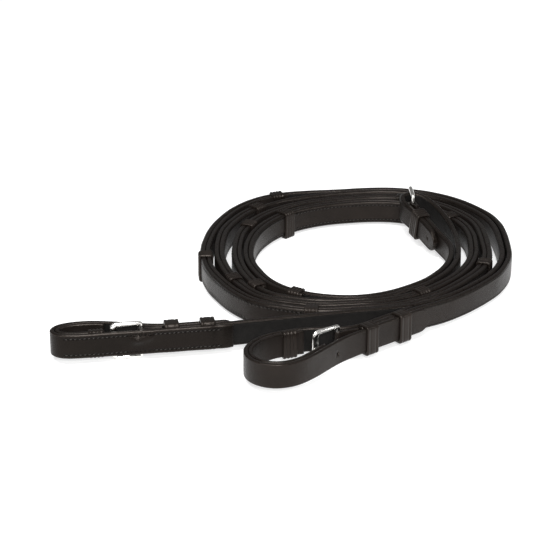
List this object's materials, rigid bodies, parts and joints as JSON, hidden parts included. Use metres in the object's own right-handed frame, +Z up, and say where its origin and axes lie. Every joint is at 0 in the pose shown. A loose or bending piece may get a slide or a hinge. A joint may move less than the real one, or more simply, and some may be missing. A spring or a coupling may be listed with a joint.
{
  "type": "leather bridle reins",
  "caption": "Leather bridle reins with buckled billet ends, padded grips with ribbed stops and a centre buckle, coiled flat.",
  "frame": {"origin": "on the ground under the middle of the coiled reins, which lie with the straps standing on edge", "axes": "+Z up off the ground; -Y towards the bit ends, which lie at the front left; +X to the right of the coil"},
  "size_m": [0.2981, 0.3011, 0.0341],
  "materials": {
    "rein_leather": "finished black-brown bridle leather, satin",
    "grip_leather": "soft grained leather, matt",
    "band_leather": "pressed and ribbed leather, satin",
    "buckle_metal": "polished nickel-plated steel"
  },
  "bodies": {
    "reins": {"left_rein": "rein_leather", "right_rein": "rein_leather", "left_grip_lining": "grip_leather", "right_grip_lining": "grip_leather", "left_billet": "rein_leather", "right_billet": "rein_leather", "left_loop_lining": "rein_leather", "right_loop_lining": "rein_leather", "centre_keeper": "band_leather", "left_chape": "rein_leather", "right_chape": "rein_leather", "centre_chape": "rein_leather", "left_keeper_1": "band_leather", "left_keeper_2": "band_leather", "right_keeper_1": "band_leather", "right_keeper_2": "band_leather", "left_end_loop": "band_leather", "right_end_loop": "band_leather", "left_stop_1": "band_leather", "left_stop_2": "band_leather", "left_stop_3": "band_leather", "left_stop_4": "band_leather", "left_stop_5": "band_leather", "left_stop_6": "band_leather", "right_stop_1": "band_leather", "right_stop_2": "band_leather", "right_stop_3": "band_leather", "right_stop_4": "band_leather", "right_stop_5": "band_leather", "right_stop_6": "band_leather", "right_stop_7": "band_leather"},
    "left_frame": {"left_buckle_frame": "buckle_metal"},
    "left_tongue": {"left_prong": "buckle_metal"},
    "right_frame": {"right_buckle_frame": "buckle_metal"},
    "right_tongue": {"right_prong": "buckle_metal"},
    "centre_frame": {"centre_buckle_frame": "buckle_metal"},
    "centre_tongue": {"centre_prong": "buckle_metal"}
  },
  "joints": [
    {"name": "left_frame_hinge", "type": "hinge", "parent": "reins", "child": "left_frame", "pos_m": [-0.09285, -0.09765, 0.0128], "axis": [0, 0, -1], "range_deg": [0, 12]},
    {"name": "left_tongue_hinge", "type": "hinge", "parent": "left_frame", "child": "left_tongue", "pos_m": [-0.09285, -0.09765, 0.0128], "axis": [0, 0, -1], "range_deg": [0, 5]},
    {"name": "right_frame_hinge", "type": "hinge", "parent": "reins", "child": "right_frame", "pos_m": [0.0281, -0.1024, 0.0128], "axis": [0, 0, 1], "range_deg": [-12, 14]},
    {"name": "right_tongue_hinge", "type": "hinge", "parent": "right_frame", "child": "right_tongue", "pos_m": [0.0281, -0.1024, 0.0128], "axis": [0, 0, 1], "range_deg": [0, 8]},
    {"name": "centre_frame_hinge", "type": "hinge", "parent": "reins", "child": "centre_frame", "pos_m": [0.0855, 0.0952, 0.0216], "axis": [0, 0, 1], "range_deg": [-1.5, 1.5]},
    {"name": "centre_tongue_hinge", "type": "hinge", "parent": "centre_frame", "child": "centre_tongue", "pos_m": [0.0855, 0.0952, 0.0216], "axis": [0, 0, 1], "range_deg": [0, 2]}
  ]
}
